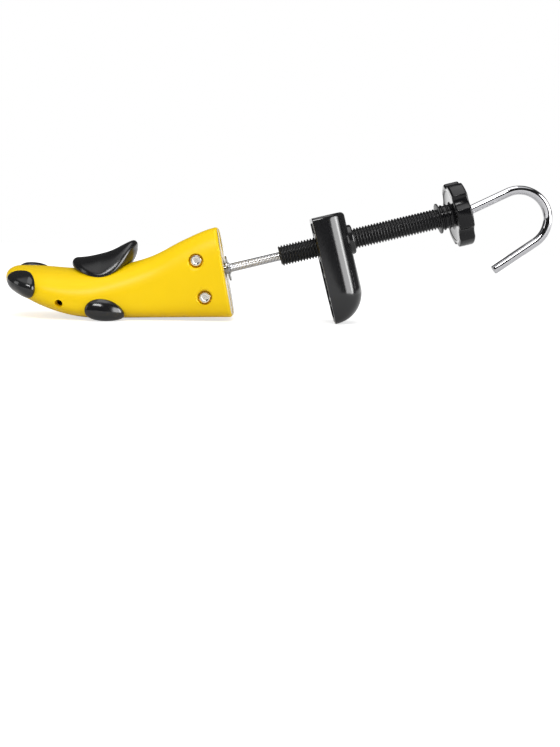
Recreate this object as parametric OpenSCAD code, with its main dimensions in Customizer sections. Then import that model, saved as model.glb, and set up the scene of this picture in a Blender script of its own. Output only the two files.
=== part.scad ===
// Screw-type shoe stretcher: a split last on a threaded rod, a heel block on a screw tube, a knob and a hook.
// Millimetres. The toe points to -X, the hook to +X, and the part stands on z = 0.

/* [Last] */
// Length of the last from the rod's entry to the toe tip
last_len = 147; // [135:1:165]
// Height of the last near its rear edge
rear_h = 59; // [56:0.5:66]
// Thickness of the last over the ball of the foot
ball_h = 32.5; // [30:0.5:38]
// Width over the ball of the foot, both halves together
ball_w = 67; // [60:1:78]
// Width of the last at its rear, both halves together
rear_w = 42; // [41:0.5:50]
// Height of the toe tip's middle above the sole
toe_lift = 27; // [22:0.5:31]
// Lean of the rear face from upright, in degrees
rear_lean = 10; // [5:0.5:14]
// Wall of the moulded halves
wall = 2.5; // [2:0.1:3]
// Wall across the rear end of each half
rear_wall = 3; // [2:0.1:4]
// Gap between the two closed halves
split_gap = 0.5; // [0.3:0.1:0.8]

/* [Rod and hook] */
// Diameter of the steel rod
rod_d = 6; // [5:0.1:6.4]
// Rise of the rod away from the sole, in degrees
rod_tilt = 13.3; // [10:0.1:15]
// Height of the rod above the sole where it enters the last
rod_height = 32; // [30:0.5:34]
// Straight run of the rod ahead of the rear face, inside the last
rod_front = 62; // [59:0.5:68]
// Upward bend of the rod behind the knob, in degrees
hook_kink = 11.8; // [6:0.2:18]
// Straight shank between the knob and the hook's bend
shank_len = 29.5; // [20:0.5:40]
// Radius of the hook's bend at the middle of the rod
hook_r = 19.1; // [16:0.1:24]
// Turn of the hook's bend, in degrees
hook_turn = 171; // [150:1:178]
// Straight leg after the hook's bend
hook_leg = 33.5; // [20:0.5:45]

/* [Spreader in the last] */
// Distance of the hinge pins ahead of the rod's entry
hinge_in = 9; // [8:0.25:10]
// Distance of each hinge pin from the middle plane
hinge_side = 7.5; // [7:0.25:8.5]
// Diameter of the hinge pins
hinge_pin_d = 4; // [3:0.25:4.5]
// Thickness of the hinge block along the rod
block_t = 10; // [9:0.25:10.5]
// Half the height of the hinge block and of the bar nut
block_half_h = 4.9; // [4.4:0.1:5.2]
// Distance of the bar nut ahead of the rod's entry, halves closed
nut_in = 48; // [46:0.5:50]
// Travel of the bar nut between closed and fully spread
nut_travel = 12; // [8:0.5:14]
// Angle that each half opens to, in degrees
open_angle = 7; // [4:0.25:8]
// Distance of each cam pin from the middle plane
cam_side = 9; // [8.5:0.1:9.3]
// Diameter of the cam pins
cam_pin_d = 4; // [3:0.25:4.25]
// Thickness of the bracket's slotted leaves
leaf_t = 1.5; // [1:0.1:2]
// Distance of the bracket's outer face from the middle plane
web_side = 15.6; // [15:0.1:15.8]
// Thickness of the bracket's upright web
web_t = 2.6; // [2:0.1:2.8]

/* [Bracket screws] */
// Distance of the screws ahead of the rod's entry
screw_in = 17.4; // [17:0.1:19]
// Height of the upper screw above the rod
screw_above = 10.1; // [9.5:0.1:10.5]
// Depth of the lower screw below the rod
screw_below = 14.5; // [13:0.1:15]
// Thread diameter of the screws
screw_d = 4; // [3:0.1:4.2]
// Diameter of the screw heads
head_d = 7; // [6:0.1:7.4]
// Height of the screw heads
head_h = 2.8; // [2:0.1:3]
// Diameter of the counterbores
counterbore_d = 9.4; // [8.6:0.1:9.8]

/* [Thrust washer] */
// Diameter of the thrust washer
washer_d = 17; // [14:0.5:20]
// Thickness of the thrust washer
washer_t = 1.1; // [0.8:0.1:1.5]

/* [Screw tube] */
// Outer diameter of the threaded tube
tube_d = 13.9; // [13:0.1:14.8]
// Distance of the tube's front end behind the last
tube_start = 36; // [30:0.5:40]
// Distance of the stop flange behind the last
flange_at = 144.6; // [130:0.2:150]
// Diameter of the stop flange
flange_d = 20.4; // [18:0.2:24]
// Thickness of the stop flange
flange_t = 1.1; // [0.8:0.1:2]

/* [Knob] */
// Diameter over the knob's lobes
knob_d = 43.2; // [36:0.2:50]
// Number of lobes
knob_lobes = 6; // [5:1:8]
// Depth of the valleys between the lobes
valley_depth = 2.3; // [1.5:0.1:3]
// Radius of the valleys
valley_r = 8; // [5:0.5:9]
// Thickness of the knob's wheel
knob_t = 10.4; // [9:0.2:14]
// Length of the hub ahead of the wheel
hub_len = 7.8; // [6:0.2:12]
// Diameter of the hub
hub_d = 15.5; // [14.8:0.1:18]

/* [Heel block] */
// Distance of the heel block's front face behind the last
heel_at = 61.6; // [55:0.2:70]
// Depth of the heel block along the rod
heel_depth = 22.5; // [20:0.5:28]
// Width of the heel block
heel_w = 45; // [38:0.5:54]
// Height of the heel block above the rod
heel_above = 19.4; // [15:0.2:24]
// Height of the heel block below the rod
heel_below = 51.8; // [44:0.2:56]
// Wall of the heel block
heel_wall = 3; // [2.4:0.1:3.5]
// Radius of the block's rounding at its lower rear
heel_round = 20.5; // [14:0.5:20.5]
// Diameter of the threaded boss
boss_d = 20; // [18.6:0.2:22]
// Stand of the boss out of the block's rear
boss_proud = 2.5; // [1:0.1:4]

/* [Plugs] */
// Length of a plug's oval
plug_l = 25.5; // [22:0.5:30]
// Width of a plug's oval
plug_w = 15.5; // [13:0.5:18]
// Height of a plug's dome
plug_h = 5.5; // [4:0.25:7]
// Diameter of the plug holes in the halves
plug_hole_d = 5; // [4:0.1:5.5]
// Length of a plug's peg
peg_len = 8; // [6:0.25:9]

/* [Instep saddle] */
// Length of the saddle along the last
saddle_l = 43; // [36:0.5:46]
// Width of the saddle across the last
saddle_w = 47; // [40:0.5:48]
// Distance of the saddle's middle ahead of the rod's entry
saddle_at = 81.7; // [78:0.2:86]
// Rise of the saddle over the crown at its rear end
saddle_rear_h = 14; // [10:0.25:16]
// Rise of the saddle over the crown at its front end
saddle_front_h = 5.5; // [4:0.25:8]
// Diameter of the peg that centres the saddle in the split
saddle_peg_d = 4.6; // [4:0.1:5]

/* [Clearances] */
// Radial clearance of turning and sliding fits
run_gap = 0.06; // [0.03:0.01:0.1]
// Radial clearance of parts that are pressed or screwed together
press_gap = 0.02; // [0.01:0.01:0.03]
// Gap between parts that move past each other without guiding
free_gap = 0.3; // [0.25:0.05:0.4]

/* [Hidden] */
$fn = 48;

rod_r = rod_d / 2;
rear_foot = 4.1;
relief = open_angle + 1.5;
leaf_z = block_half_h + free_gap;
pocket_end = block_t / 2 - hinge_in + 0.8;
web_in = web_side - web_t;
leaf_in = 1.6;
leaf_ahead = 7;
web_pad_r = 5.2;
seat_floor = 1.4;
seat_side = web_side + seat_floor;
screw_boss_d = counterbore_d + 3.6;
collar_t = 3;
collar_r = 5.6;
core_r = 6;
clip_t = 1.2;
clip_r = 5;
sleeve_r = rod_r + 0.75;
knob_at = flange_at + flange_t + hub_len;
knob_end = knob_at + knob_t;
tube_end = knob_at - 0.7;
kink_r = 12;
plug_edge = 1.2;
saddle_edge = 1.5;
nose_side = 9;
nose_plan = 34;

// Smooth curve through points [s, value], and its value at s
function rise(p, i) =
    let (a = max(i - 1, 0), b = min(i + 1, len(p) - 1))
    (p[b][1] - p[a][1]) / (p[b][0] - p[a][0]);
function piece(p, s, i = 0) = i >= len(p) - 2 || s < p[i + 1][0] ? i : piece(p, s, i + 1);
function curve(p, s) =
    let (i = piece(p, s), h = p[i + 1][0] - p[i][0], t = (s - p[i][0]) / h)
    (2 * t ^ 3 - 3 * t ^ 2 + 1) * p[i][1] + (t ^ 3 - 2 * t ^ 2 + t) * h * rise(p, i)
    + (3 * t ^ 2 - 2 * t ^ 3) * p[i + 1][1] + (t ^ 3 - t ^ 2) * h * rise(p, i + 1);

// Shape of the last along its length, s = 0 at the rod's entry and 1 at the toe tip
crown_line = [[-0.1, 1.16], [0.07, 1], [0.19, 0.725], [0.345, 0.297], [0.51, 0.06], [0.68, 0], [0.85, 0.06], [1, 0.08]];
sole_line = [[-0.1, 0], [0.5, 0], [0.6, 0.012], [0.7, 0.096], [0.81, 0.281], [0.92, 0.54], [1, 0.7]];
width_line = [[-0.1, -0.04], [0.14, 0.02], [0.3, 0.16], [0.45, 0.48], [0.58, 0.88], [0.68, 1], [0.78, 0.98], [0.88, 0.88], [1, 0.76]];
waist_line = [[-0.1, 0.42], [0.4, 0.4], [0.65, 0.36], [1, 0.5]];
upper_power = [[-0.1, 3.3], [0.15, 3.2], [0.35, 2.6], [0.6, 2.15], [1, 2.1]];
lower_power = [[-0.1, 4], [0.6, 3.4], [0.85, 2.6], [1, 2.2]];

function nose(s, n) =
    let (d = max(0, 1 - s) * last_len)
    d >= n ? 1 : sqrt(1 - ((n - d) / n) ^ 2);
function crown_z(s) =
    let (z = ball_h + (rear_h - ball_h) * curve(crown_line, s))
    toe_lift + (z - toe_lift) * nose(s, nose_side);
function sole_z(s) =
    let (z = toe_lift * curve(sole_line, s))
    toe_lift + (z - toe_lift) * nose(s, nose_side);
function half_w(s) = (rear_w + (ball_w - rear_w) * curve(width_line, s)) / 2 * nose(s, nose_plan);
function waist_z(s) = sole_z(s) + (crown_z(s) - sole_z(s)) * curve(waist_line, s);

// Point of the near half's skin, drawn in by inset; t = 90 is the crown, 0 the widest place, -90 the sole
function skin(s, t, inset = 0, gap = split_gap / 2) =
    let (up = t >= 0,
         n = curve(up ? upper_power : lower_power, s),
         h = up ? crown_z(s) - waist_z(s) : waist_z(s) - sole_z(s),
         z = waist_z(s) + (up ? 1 : -1) * (h - inset) * abs(sin(t)) ^ (2 / n),
         y = gap + (half_w(s) - gap - inset) * abs(cos(t)) ^ (2 / n))
    [-s * last_len, -y, z];
// Below zero inside the last, above zero outside
function outside(p) =
    let (s = -p[0] / last_len)
    s > 0.9999 ? 1 :
    let (up = p[2] >= waist_z(s),
         n = curve(up ? upper_power : lower_power, s),
         h = up ? crown_z(s) - waist_z(s) : waist_z(s) - sole_z(s))
    (max(0, abs(p[1]) - split_gap / 2) / (half_w(s) - split_gap / 2)) ^ n + (abs(p[2] - waist_z(s)) / h) ^ n - 1;
function crown_at(x, y) =
    let (s = -x / last_len, n = curve(upper_power, s), q = max(0, abs(y) - split_gap / 2) / (half_w(s) - split_gap / 2))
    waist_z(s) + (crown_z(s) - waist_z(s)) * (1 - q ^ n) ^ (1 / n);

function unit(v) = v / norm(v);
function normal(s, t) =
    let (e = 0.004, a = skin(s + e, t) - skin(s - e, t), b = skin(s, t + 1) - skin(s, t - 1))
    unit(cross(b, a));

// Point of the skin on a ring that leans like the rear face at s0 and stands upright from 0.45 on
function leant(s, s0, z) = s + tan(rear_lean) * z / last_len * max(0, 1 - (s - s0) / (0.45 - s0));
function spot(s, s0, t, inset, n = 4) =
    n == 0 ? skin(s, t, inset) : skin(leant(s, s0, spot(s, s0, t, inset, n - 1)[2]), t, inset, split_y(s));
// The halves' flat faces draw apart behind the hinge, so that the halves can open
relief_from = (hinge_in - 4) / last_len;
function split_y(s) = split_gap / 2 + max(0, relief_from - s) * last_len * tan(relief);

// Stations along the last and around its half section, closer together where it bends
function stations(s0, s1, n) = [for (i = [0:n]) s0 + (s1 - s0) * sin(90 * i / n) ^ 0.9];
around = [for (i = [0:18]) 10 * i - 90];
around_inner = [for (i = [0:12]) 15 * i - 90];

// Solid through rings of points that all have the same count
module loft(rings) {
    m = len(rings[0]);
    n = len(rings);
    polyhedron(
        points = [for (r = rings) each r],
        faces = [
            [for (i = [0:m - 1]) i],
            [for (i = [m - 1:-1:0]) (n - 1) * m + i],
            for (k = [0:n - 2]) for (i = [0:m - 1]) [k * m + i, (k + 1) * m + i, (k + 1) * m + (i + 1) % m],
            for (k = [0:n - 2]) for (i = [0:m - 1]) [k * m + i, (k + 1) * m + (i + 1) % m, k * m + (i + 1) % m]
        ]
    );
}

// Hollow solid that is open on its flat side, between outer and inner rings of the same number
module cup(outer, inner) {
    m = len(outer[0]);
    q = len(inner[0]);
    n = len(outer);
    b = n * m;
    e = (n - 1) * m;
    f = b + (n - 1) * q;
    polyhedron(
        points = concat([for (r = outer) each r], [for (r = inner) each r]),
        faces = [
            [for (i = [0:m - 1]) i],
            [for (i = [m - 1:-1:0]) e + i],
            [for (i = [q - 1:-1:0]) b + i],
            [for (i = [0:q - 1]) f + i],
            [0, m - 1, b + q - 1],
            [0, b + q - 1, b],
            [e + m - 1, e, f],
            [e + m - 1, f, f + q - 1],
            for (k = [0:n - 2]) for (i = [0:m - 2]) [k * m + i, (k + 1) * m + i, (k + 1) * m + i + 1],
            for (k = [0:n - 2]) for (i = [0:m - 2]) [k * m + i, (k + 1) * m + i + 1, k * m + i + 1],
            for (k = [0:n - 2]) for (i = [0:q - 2]) [b + k * q + i, b + (k + 1) * q + i + 1, b + (k + 1) * q + i],
            for (k = [0:n - 2]) for (i = [0:q - 2]) [b + k * q + i, b + k * q + i + 1, b + (k + 1) * q + i + 1],
            for (k = [0:n - 2]) [b + k * q, b + (k + 1) * q, (k + 1) * m],
            for (k = [0:n - 2]) [b + k * q, (k + 1) * m, k * m],
            for (k = [0:n - 2]) [k * m + m - 1, (k + 1) * m + m - 1, b + (k + 1) * q + q - 1],
            for (k = [0:n - 2]) [k * m + m - 1, b + (k + 1) * q + q - 1, b + k * q + q - 1]
        ]
    );
}

// Lays the finished part on the plane z = 0, with its length centred on x = 0
module stand() {
    translate([rest_shift, 0, rest_lift]) rotate([0, -rest_tilt, 0]) children();
}

// Frame of the rod: x along it towards the hook, z square to it and up
module along_rod() {
    translate([0, 0, rod_height]) rotate([0, -rod_tilt, 0]) children();
}
module rod_ring(x0, x1, r) {
    translate([x0, 0, 0]) rotate([0, 90, 0]) cylinder(r = r, h = x1 - x0);
}
module across(x, z, y0, y1, r) {
    translate([x, y1, z]) rotate([90, 0, 0]) cylinder(r = r, h = y1 - y0);
}

// Frame on the near half's skin: z straight out of it, x along the last towards the toe, turned by turn
module on_skin(s, t, turn = 0) {
    p = skin(s, t);
    z = normal(s, t);
    x = unit([-1, 0, 0] + z * z[0]);
    y = cross(z, x);
    multmatrix([[x[0], y[0], z[0], p[0]], [x[1], y[1], z[1], p[1]], [x[2], y[2], z[2], p[2]], [0, 0, 0, 1]])
        rotate([0, 0, turn]) children();
}
function skin_axes(s, t, turn) =
    let (z = normal(s, t), x0 = unit([-1, 0, 0] + z * z[0]), y0 = cross(z, x0))
    [x0 * cos(turn) + y0 * sin(turn), y0 * cos(turn) - x0 * sin(turn), z];

// Places of the plugs on a half: station, place round the section, turn of the oval
toe_place = [0.91, -4, -36];
far_toe_place = [0.893, 44, -38];
ball_place = [0.523, -23, -13];
free_place = [0.715, -9, 0];

// Halves of the last
module half_skin() {
    s0 = -rear_foot / last_len;
    s1 = s0 + rear_wall / last_len;
    n = 24;
    out = concat([s0, s0 + 0.003, s0 + 0.01], stations(s0 + 0.025, 0.9997, n));
    inn = stations(s1, 1 - (wall + 1.3) / last_len, n + 3);
    soft = [1.5, 0.6, 0.15];
    cup([for (k = [0:n + 3]) [for (t = around) spot(out[k], s0, t, k < 3 ? soft[k] : 0)]],
        [for (k = [0:n + 3]) [for (t = around_inner) spot(inn[k], s1, t, wall)]]);
}
module at_screws() {
    along_rod() translate([-screw_in, 0, screw_above]) children();
    along_rod() translate([-screw_in, 0, -screw_below]) children();
}
module hinge_pocket() {
    half_h = leaf_z + leaf_t + free_gap;
    translate([pocket_end - 9, -web_in - 0.3, -half_h]) cube([9, web_in + 2.3, 2 * half_h]);
}
module half_shell(toe) {
    holes = [toe, ball_place, free_place];
    difference() {
        union() {
            half_skin();
            at_screws() across(0, 0, -web_side - 2.9, -web_side, screw_boss_d / 2);
            for (h = holes) on_skin(h[0], h[1]) translate([0, 0, -wall - 2.5]) cylinder(d = plug_hole_d + 4, h = 3.5);
        }
        along_rod() rod_ring(-10, 20, rod_r + 3.5);
        along_rod() hinge_pocket();
        at_screws() across(0, 0, -60, -seat_side, counterbore_d / 2);
        at_screws() across(0, 0, -60, 0, screw_d / 2 + 0.25);
        for (h = holes) on_skin(h[0], h[1]) translate([0, 0, -wall - 8]) cylinder(d = plug_hole_d, h = wall + 16);
        translate([-saddle_at, 0, 12]) cylinder(d = saddle_peg_d + 2 * free_gap, h = 60);
    }
}
module near_half_shell() {
    color([0.99, 0.80, 0.06]) stand() half_shell(toe_place);
}
module far_half_shell() {
    color([0.99, 0.80, 0.06]) stand() mirror([0, 1, 0]) half_shell(far_toe_place);
}

// Spreader inside the last
function cam_point(k) =
    let (a = k * open_angle, x = hinge_in - nut_in + k * nut_travel, y = hinge_side - cam_side)
    [-hinge_in + x * cos(a) + y * sin(a), -hinge_side - x * sin(a) + y * cos(a)];
module cam_slot() {
    n = 8;
    r = cam_pin_d / 2 + 0.2;
    path = [for (i = [0:n]) cam_point(i / n)];
    side = [for (i = [0:n]) let (d = unit(path[min(i + 1, n)] - path[max(i - 1, 0)])) r * [-d[1], d[0]]];
    polygon(concat([for (i = [0:n]) path[i] + side[i]], [for (i = [n:-1:0]) path[i] - side[i]]));
    translate(path[0]) circle(r);
    translate(path[n]) circle(r);
}
module leaf() {
    front = nut_in + leaf_ahead;
    linear_extrude(leaf_t) difference() {
        union() {
            translate([-front, -web_in - 0.5]) square([front - hinge_in, web_in + 0.5 - leaf_in]);
            translate([-hinge_in, -hinge_side]) circle(web_in - hinge_side - 0.6);
        }
        translate([-hinge_in, -hinge_side]) circle(hinge_pin_d / 2 + run_gap);
        cam_slot();
    }
}
module bracket() {
    front = nut_in + leaf_ahead;
    leaf_top = leaf_z + leaf_t;
    difference() {
        union() {
            translate([0, 0, leaf_z]) leaf();
            translate([0, 0, -leaf_top]) leaf();
            translate([-front, -web_side, -leaf_top]) cube([front - screw_in, web_t, 2 * leaf_top]);
            translate([-screw_in - web_pad_r, -web_side, -screw_below]) cube([2 * web_pad_r, web_t, screw_above + screw_below]);
            across(-screw_in, screw_above, -web_side, -web_in, web_pad_r);
            across(-screw_in, -screw_below, -web_side, -web_in, web_pad_r);
        }
        across(-screw_in, screw_above, -web_side - 1, -web_in + 1, screw_d / 2 + press_gap);
        across(-screw_in, -screw_below, -web_side - 1, -web_in + 1, screw_d / 2 + press_gap);
    }
}
module near_bracket() {
    color([0.62, 0.63, 0.65]) stand() along_rod() bracket();
}
module far_bracket() {
    color([0.62, 0.63, 0.65]) stand() along_rod() mirror([0, 1, 0]) bracket();
}

module bracket_screw(z) {
    translate([-screw_in, 0, z]) difference() {
        union() {
            across(0, 0, -seat_side - head_h, -seat_side, head_d / 2);
            across(0, 0, -seat_side, -web_in, screw_d / 2);
        }
        translate([0, -seat_side - head_h + 1.7, 0]) rotate([90, 0, 0]) cylinder(d = 3.46, h = 3, $fn = 6);
    }
}
module near_upper_screw() {
    color("silver") stand() along_rod() bracket_screw(screw_above);
}
module near_lower_screw() {
    color("silver") stand() along_rod() bracket_screw(-screw_below);
}
module far_upper_screw() {
    color("silver") stand() along_rod() mirror([0, 1, 0]) bracket_screw(screw_above);
}
module far_lower_screw() {
    color("silver") stand() along_rod() mirror([0, 1, 0]) bracket_screw(-screw_below);
}

module hinge_block() {
    front = hinge_in + block_t / 2;
    color([0.45, 0.46, 0.48]) stand() along_rod() difference() {
        union() {
            translate([-front, -hinge_side, -block_half_h]) cube([block_t, 2 * hinge_side, 2 * block_half_h]);
            for (side = [-1, 1]) translate([-hinge_in, side * hinge_side, -block_half_h])
                cylinder(d = min(block_t, 2 * (web_in - hinge_side) - 1), h = 2 * block_half_h);
        }
        rod_ring(-front - 1, -front + block_t + 1, rod_r + run_gap);
        for (side = [-1, 1]) translate([-hinge_in, side * hinge_side, -block_half_h - 1])
            cylinder(r = hinge_pin_d / 2 + press_gap, h = 2 * block_half_h + 2);
    }
}
module stud(x, y, r, half_len, head_r) {
    translate([x, y, -half_len]) cylinder(r = r, h = 2 * half_len);
    translate([x, y, half_len]) cylinder(r = head_r, h = 1);
    translate([x, y, -half_len - 1]) cylinder(r = head_r, h = 1);
}
module hinge_pin(side) {
    color("silver") stand() along_rod()
        stud(-hinge_in, side * hinge_side, hinge_pin_d / 2, leaf_z + leaf_t + free_gap, hinge_pin_d / 2 + 1);
}
module near_hinge_pin() {
    hinge_pin(-1);
}
module far_hinge_pin() {
    hinge_pin(1);
}

module spreader_nut() {
    nut_half = 5.5;
    color([0.72, 0.66, 0.45]) stand() along_rod() difference() {
        union() {
            translate([-nut_in - nut_half, -cam_side, -block_half_h]) cube([2 * nut_half, 2 * cam_side, 2 * block_half_h]);
            for (side = [-1, 1]) translate([-nut_in, side * cam_side, -block_half_h])
                cylinder(d = 2 * (web_in - cam_side) - 1, h = 2 * block_half_h);
        }
        rod_ring(-nut_in - nut_half - 1, -nut_in + nut_half + 1, rod_r + run_gap);
        for (side = [-1, 1]) translate([-nut_in, side * cam_side, -block_half_h - 1])
            cylinder(r = cam_pin_d / 2 + press_gap, h = 2 * block_half_h + 2);
    }
}
module cam_pin(side) {
    color("silver") stand() along_rod()
        stud(-nut_in, side * cam_side, cam_pin_d / 2, leaf_z + leaf_t + free_gap, cam_pin_d / 2 + 0.9);
}
module near_cam_pin() {
    cam_pin(-1);
}
module far_cam_pin() {
    cam_pin(1);
}

// Rod, and what is fixed on it
module retaining_clip() {
    front = -hinge_in - block_t / 2 - free_gap;
    color("silver") stand() along_rod() difference() {
        rod_ring(front - clip_t, front, clip_r);
        rod_ring(front - clip_t - 1, front + 1, rod_r + press_gap);
    }
}
module thrust_washer() {
    block_rear = -hinge_in + block_t / 2;
    color("silver") stand() along_rod() difference() {
        union() {
            rod_ring(block_rear + free_gap, washer_t + 0.9, sleeve_r);
            rod_ring(0, washer_t, washer_d / 2);
        }
        rod_ring(block_rear - 1, washer_t + 3, rod_r + press_gap);
    }
}
module rod_collar() {
    color("silver") stand() along_rod() difference() {
        rod_ring(tube_end + free_gap, tube_end + free_gap + collar_t, collar_r);
        rod_ring(tube_end - 1, tube_end + collar_t + 2, rod_r + press_gap);
    }
}
module bend(r, from, sweep) {
    rotate([90, 0, 0]) rotate([0, 0, from]) rotate_extrude(angle = sweep) translate([r, 0]) circle(rod_r - 0.02);
}
module heading(x, z, a) {
    translate([x, 0, z]) rotate([0, -a, 0]) children();
}
kink_end = [knob_end - 1.5 + kink_r * sin(hook_kink), kink_r * (1 - cos(hook_kink))];
bend_start = kink_end + shank_len * [cos(hook_kink), sin(hook_kink)];
bend_mid = bend_start + hook_r * [sin(hook_kink), -cos(hook_kink)];
leg_start = bend_mid + hook_r * [cos(90 + hook_kink - hook_turn), sin(90 + hook_kink - hook_turn)];
module hook_rod() {
    lap = 0.3;
    color([0.78, 0.79, 0.8]) stand() along_rod() union() {
        rod_ring(-rod_front, knob_end - 1.5 + lap, rod_r);
        translate([knob_end - 1.5, 0, kink_r]) bend(kink_r, -90, hook_kink);
        heading(kink_end[0], kink_end[1], hook_kink) rod_ring(-lap, shank_len + lap, rod_r);
        translate([bend_mid[0], 0, bend_mid[1]]) bend(hook_r, 90 + hook_kink - hook_turn, hook_turn);
        heading(leg_start[0], leg_start[1], hook_kink - hook_turn) rod_ring(-lap, hook_leg, rod_r);
    }
}

// Plugs that bulge the shoe out, and the instep saddle
function reach(p, d, lo, hi, n = 16) =
    n == 0 ? (lo + hi) / 2 :
    let (m = (lo + hi) / 2)
    outside(p + d * m) > 0 ? reach(p, d, lo, m, n - 1) : reach(p, d, m, hi, n - 1);
plug_steps = 32;
plug_turns = [for (i = [0:plug_steps - 1]) 360 / plug_steps * i];
plug_top = [1, 0.985, 0.93, 0.82, 0.62, 0.35];
function plug_foot(place, r, a) =
    let (axes = skin_axes(place[0], place[1], place[2]), x = r * plug_l / 2 * cos(a), y = r * plug_w / 2 * sin(a))
    [x, y, reach(skin(place[0], place[1]) + axes[0] * x + axes[1] * y, axes[2], -8, 3) + free_gap];
function plug_dome(place, r, a) =
    let (f = plug_foot(place, 1, a), lift = (plug_h - plug_edge) * sqrt(1 - r * r))
    [f[0] * r, f[1] * r, f[2] * r * r + plug_edge + lift];
module plug_body(place) {
    low = [for (r = [0.1, 0.3, 0.5, 0.66, 0.8, 0.91, 1]) [for (a = plug_turns) plug_foot(place, r, a)]];
    high = [for (r = plug_top) [for (a = plug_turns) plug_dome(place, r, a)]];
    loft(concat(low, high));
}
module plug(place) {
    on_skin(place[0], place[1], place[2]) union() {
        plug_body(place);
        translate([0, 0, -peg_len]) cylinder(r = plug_hole_d / 2 - run_gap, h = peg_len + plug_h / 2);
    }
}
module near_toe_plug() {
    color([0.08, 0.08, 0.08]) stand() plug(toe_place);
}
module near_ball_plug() {
    color([0.08, 0.08, 0.08]) stand() plug(ball_place);
}
module far_toe_plug() {
    color([0.08, 0.08, 0.08]) stand() mirror([0, 1, 0]) plug(far_toe_place);
}
module far_ball_plug() {
    color([0.08, 0.08, 0.08]) stand() mirror([0, 1, 0]) plug(ball_place);
}

// The part rests on the ball plugs and on the heel block's tip, which tilts the sole a little
function plug_point(place, q) =
    let (axes = skin_axes(place[0], place[1], place[2]))
    skin(place[0], place[1]) + axes[0] * q[0] + axes[1] * q[1] + axes[2] * q[2];
plug_rim = [for (r = plug_top) for (a = plug_turns) plug_point(ball_place, plug_dome(ball_place, r, a))];
plug_low = min([for (q = plug_rim) q[2]]);
plug_foot_x = [for (q = plug_rim) if (q[2] == plug_low) q[0]][0];
heel_tip = heel_below - 0.05;
heel_tip_x = heel_at * cos(rod_tilt) + heel_tip * sin(rod_tilt);
heel_tip_z = rod_height + heel_at * sin(rod_tilt) - heel_tip * cos(rod_tilt);
rest_tilt = atan2(plug_low - heel_tip_z, heel_tip_x - plug_foot_x);
rest_lift = -heel_tip_x * sin(rest_tilt) - heel_tip_z * cos(rest_tilt);
tilt = rod_tilt + rest_tilt;
hook_far = bend_mid[0] * cos(tilt) - bend_mid[1] * sin(tilt) - rod_height * sin(rest_tilt) + hook_r + rod_r - 0.02;
toe_far = last_len * cos(rest_tilt) + toe_lift * sin(rest_tilt);
rest_shift = (toe_far - hook_far) / 2;

saddle_turns = [for (i = [0:39]) 9 * i];
saddle_top = [1, 0.97, 0.9, 0.78, 0.6, 0.4, 0.2];
module instep_saddle() {
    function spot(r, a) = [-saddle_at + r * saddle_l / 2 * cos(a), r * saddle_w / 2 * sin(a)];
    function seat(r, a) = let (p = spot(r, a)) [p[0], p[1], crown_at(p[0], p[1]) + free_gap];
    function edge(a) =
        let (c = cos(a))
        saddle_edge + (c > 0 ? saddle_rear_h - saddle_edge : saddle_front_h - saddle_edge) * abs(c) ^ 1.6;
    function ridge(x) =
        let (f = (x + saddle_at) / saddle_l + 0.5,
             front = crown_at(-saddle_at - saddle_l / 2, 0) + saddle_front_h,
             rear = crown_at(-saddle_at + saddle_l / 2, 0) + saddle_rear_h)
        front + (rear - front) * (0.25 * f + 0.75 * f ^ 2.2);
    function cover(r, a) =
        let (p = spot(r, a), rim = seat(1, a)[2] + edge(a), k = r ^ 2.4)
        [p[0], p[1], rim * k + ridge(p[0]) * (1 - k)];
    low = [for (r = [0.2, 0.4, 0.6, 0.72, 0.82, 0.91, 1]) [for (a = saddle_turns) seat(r, a)]];
    high = [for (r = saddle_top) [for (a = saddle_turns) cover(r, a)]];
    color([0.09, 0.09, 0.09]) stand() union() {
        loft(concat(low, high));
        translate([-saddle_at, 0, crown_at(-saddle_at, 0) - 8]) cylinder(d = saddle_peg_d, h = 10);
    }
}

// Screw tube, knob and heel block
module screw_tube() {
    r = tube_d / 2;
    bore = rod_r + free_gap + 0.05;
    color([0.13, 0.13, 0.13]) stand() along_rod() rotate([0, 90, 0]) rotate_extrude() polygon([
        [bore, tube_start], [r - 1, tube_start], [r, tube_start + 1], [r, flange_at],
        [flange_d / 2, flange_at], [flange_d / 2, flange_at + flange_t], [core_r, flange_at + flange_t],
        [core_r, tube_end], [bore, tube_end]]);
}
module knob_wheel() {
    r = knob_d / 2;
    bore = rod_r + free_gap + 0.05;
    pocket = core_r + press_gap;
    start = flange_at + flange_t;
    pocket_end = tube_end + collar_t + 2 * free_gap;
    soft = 1.5;
    color([0.11, 0.11, 0.11]) stand() along_rod() rotate([0, 90, 0]) difference() {
        rotate_extrude() polygon([
            [pocket, start], [hub_d / 2, start], [hub_d / 2, start + 1.6], [hub_d / 2 + 0.8, start + 1.6],
            [hub_d / 2 + 0.8, start + 2.8], [hub_d / 2, start + 2.8], [hub_d / 2, start + 4.6],
            [hub_d / 2 + 0.8, start + 4.6], [hub_d / 2 + 0.8, start + 5.8], [hub_d / 2, start + 5.8],
            [hub_d / 2, knob_at], [r - soft, knob_at], [r - 0.4, knob_at + 0.5], [r, knob_at + soft],
            [r, knob_end - soft], [r - 0.4, knob_end - 0.5], [r - soft, knob_end],
            [bore, knob_end], [bore, pocket_end], [pocket, pocket_end]]);
        for (i = [0:knob_lobes - 1]) rotate([0, 0, 360 / knob_lobes * i + 9])
            translate([r - valley_depth + valley_r, 0, knob_at - 1]) cylinder(r = valley_r, h = knob_t + 2);
    }
}

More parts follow.
